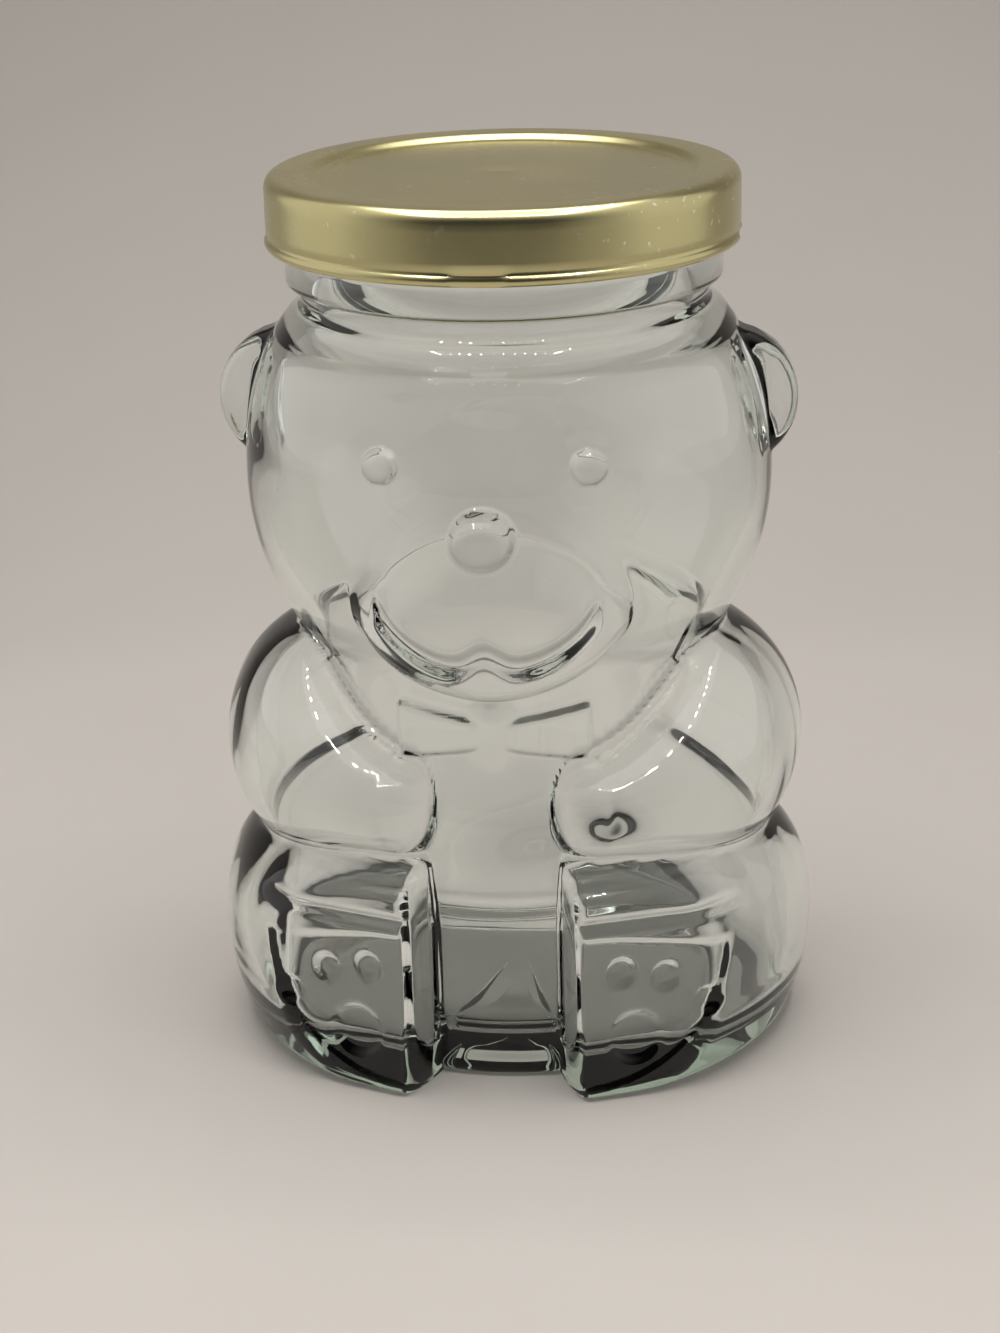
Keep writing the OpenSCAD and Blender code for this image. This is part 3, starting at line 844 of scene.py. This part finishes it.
# Light box: sweep, lamps, surroundings and camera
SWEEP_HALF = 520
SWEEP_BEND = 160.0
SWEEP_BACK = 330.0
SWEEP_TOP = 700
LED_MIDDLE = (0.0, -0.05, 0.34)
LED_HALF = (0.11, 0.09)
LED_PER_SIDE = 12
LED_SIZE = (0.005, 0.005)
LED_POWER = 0.65
SOFT_PLACE = (0, 0.02, 0.5)
SOFT_SIZE = (0.4, 0.4)
SOFT_POWER = 0.55
SOFT_TARGET = (0, 0, 0.05)
LAMP_COLOR = (1, 0.97, 0.93)
CAMERA_DISTANCE = 400.0
CAMERA_ABOVE_CAP = 70.3
CAMERA_SHIFT = -2.0
CAMERA_PITCH = math.radians(19.75)
CAMERA_ROLL = math.radians(-1.45)
CAMERA_YAW = math.radians(6.5)
FOCAL_PX = 2904.0
PICTURE_H_PX = 1333.0
SENSOR = 36.0


def make_sweep():
    """Floor that bends up into the back wall."""
    start = SWEEP_BACK - SWEEP_BEND
    line = [(-SWEEP_HALF, 0), (-200, 0), (0, 0), (start, 0)]
    for t in np.linspace(0.08, math.pi / 2, 14):
        line.append((start + SWEEP_BEND * math.sin(t), SWEEP_BEND * (1 - math.cos(t))))
    line += [(SWEEP_BACK, 420), (SWEEP_BACK, SWEEP_TOP)]
    xs = np.linspace(-SWEEP_HALF, SWEEP_HALF, 9)
    points = [(x, y, z) for y, z in line for x in xs]
    n = len(xs)
    faces = []
    for i in range(len(line) - 1):
        for j in range(n - 1):
            k = i * n + j
            faces.append([k, k + 1, k + n + 1, k + n])
    sweep = mesh_piece("sweep", points, faces)
    sweep.data.materials.append(sweep_material())


def add_area(name, place, size, power, target):
    data = bpy.data.lights.new(name, "AREA")
    data.shape = "RECTANGLE"
    data.size, data.size_y = size
    data.energy = power
    data.color = LAMP_COLOR
    lamp = bpy.data.objects.new(name, data)
    lamp.location = place
    lamp.rotation_euler = (Vector(target) - Vector(place)).to_track_quat("-Z", "Y").to_euler()
    bpy.context.scene.collection.objects.link(lamp)


def led_frame():
    """A rectangle of small lamps that look down, as in the lid of a light box."""
    half_x, half_y = LED_HALF
    along = np.linspace(-1, 1, LED_PER_SIDE)
    spots = []
    for t in along:
        spots += [(half_x * t, half_y), (half_x * t, -half_y)]
    for t in along[1:-1]:
        spots += [(half_x, half_y * t), (-half_x, half_y * t)]
    for k, (x, y) in enumerate(spots):
        place = (LED_MIDDLE[0] + x, LED_MIDDLE[1] + y, LED_MIDDLE[2])
        add_area(f"led_{k}", place, LED_SIZE, LED_POWER / len(spots), (place[0], place[1], 0))


def make_world():
    """Pale surroundings that are dark in front, where the camera stands."""
    world = bpy.data.worlds.new("light_box")
    bpy.context.scene.world = world
    world.use_nodes = True
    nodes = world.node_tree.nodes
    links = world.node_tree.links
    back = nodes["Background"]
    where = nodes.new("ShaderNodeTexCoord")
    split = nodes.new("ShaderNodeSeparateXYZ")
    links.new(where.outputs["Generated"], split.inputs["Vector"])
    side = map_range(nodes, links, split.outputs["Y"], (-0.85, -0.25), (0.0, 1.0))
    links.new(ramp(nodes, links, side, ((0.03, 0.03, 0.03), (0.62, 0.6, 0.57))), back.inputs["Color"])
    back.inputs["Strength"].default_value = 1.25


def make_camera():
    """The camera that took the photograph, worked out from the ellipses of the cap and the base."""
    ahead = Vector((0, math.cos(CAMERA_PITCH), -math.sin(CAMERA_PITCH)))
    level_up = Vector((0, math.sin(CAMERA_PITCH), math.cos(CAMERA_PITCH)))
    level_right = Vector((1, 0, 0))
    right = math.cos(CAMERA_ROLL) * level_right + math.sin(CAMERA_ROLL) * level_up
    up = -math.sin(CAMERA_ROLL) * level_right + math.cos(CAMERA_ROLL) * level_up
    eye = Vector((CAMERA_SHIFT, -CAMERA_DISTANCE, CAP_TOP + CAMERA_ABOVE_CAP))
    turn = Matrix.Rotation(CAMERA_YAW, 3, "Z")
    right, up, ahead, eye = (turn @ v for v in (right, up, ahead, eye))
    data = bpy.data.cameras.new("camera")
    data.sensor_fit = "VERTICAL"
    data.sensor_height = SENSOR
    data.lens = SENSOR * FOCAL_PX / PICTURE_H_PX
    data.clip_start = 0.01
    data.clip_end = 10.0
    camera = bpy.data.objects.new("camera", data)
    axes = Matrix((right, up, -ahead)).transposed().to_4x4()
    camera.matrix_world = Matrix.Translation(eye * MM) @ axes
    bpy.context.scene.collection.objects.link(camera)
    bpy.context.scene.camera = camera


dress(make_jar(), glass_material(), "jar", "glass_jar")
dress(make_cap(), gold_material(), "lid", "lid_shell")
dress(make_gasket(), gasket_material(), "seal", "lid_gasket")
make_sweep()
led_frame()
add_area("soft_top", SOFT_PLACE, SOFT_SIZE, SOFT_POWER, SOFT_TARGET)
make_world()
make_camera()
bpy.context.scene.view_settings.view_transform = "Standard"

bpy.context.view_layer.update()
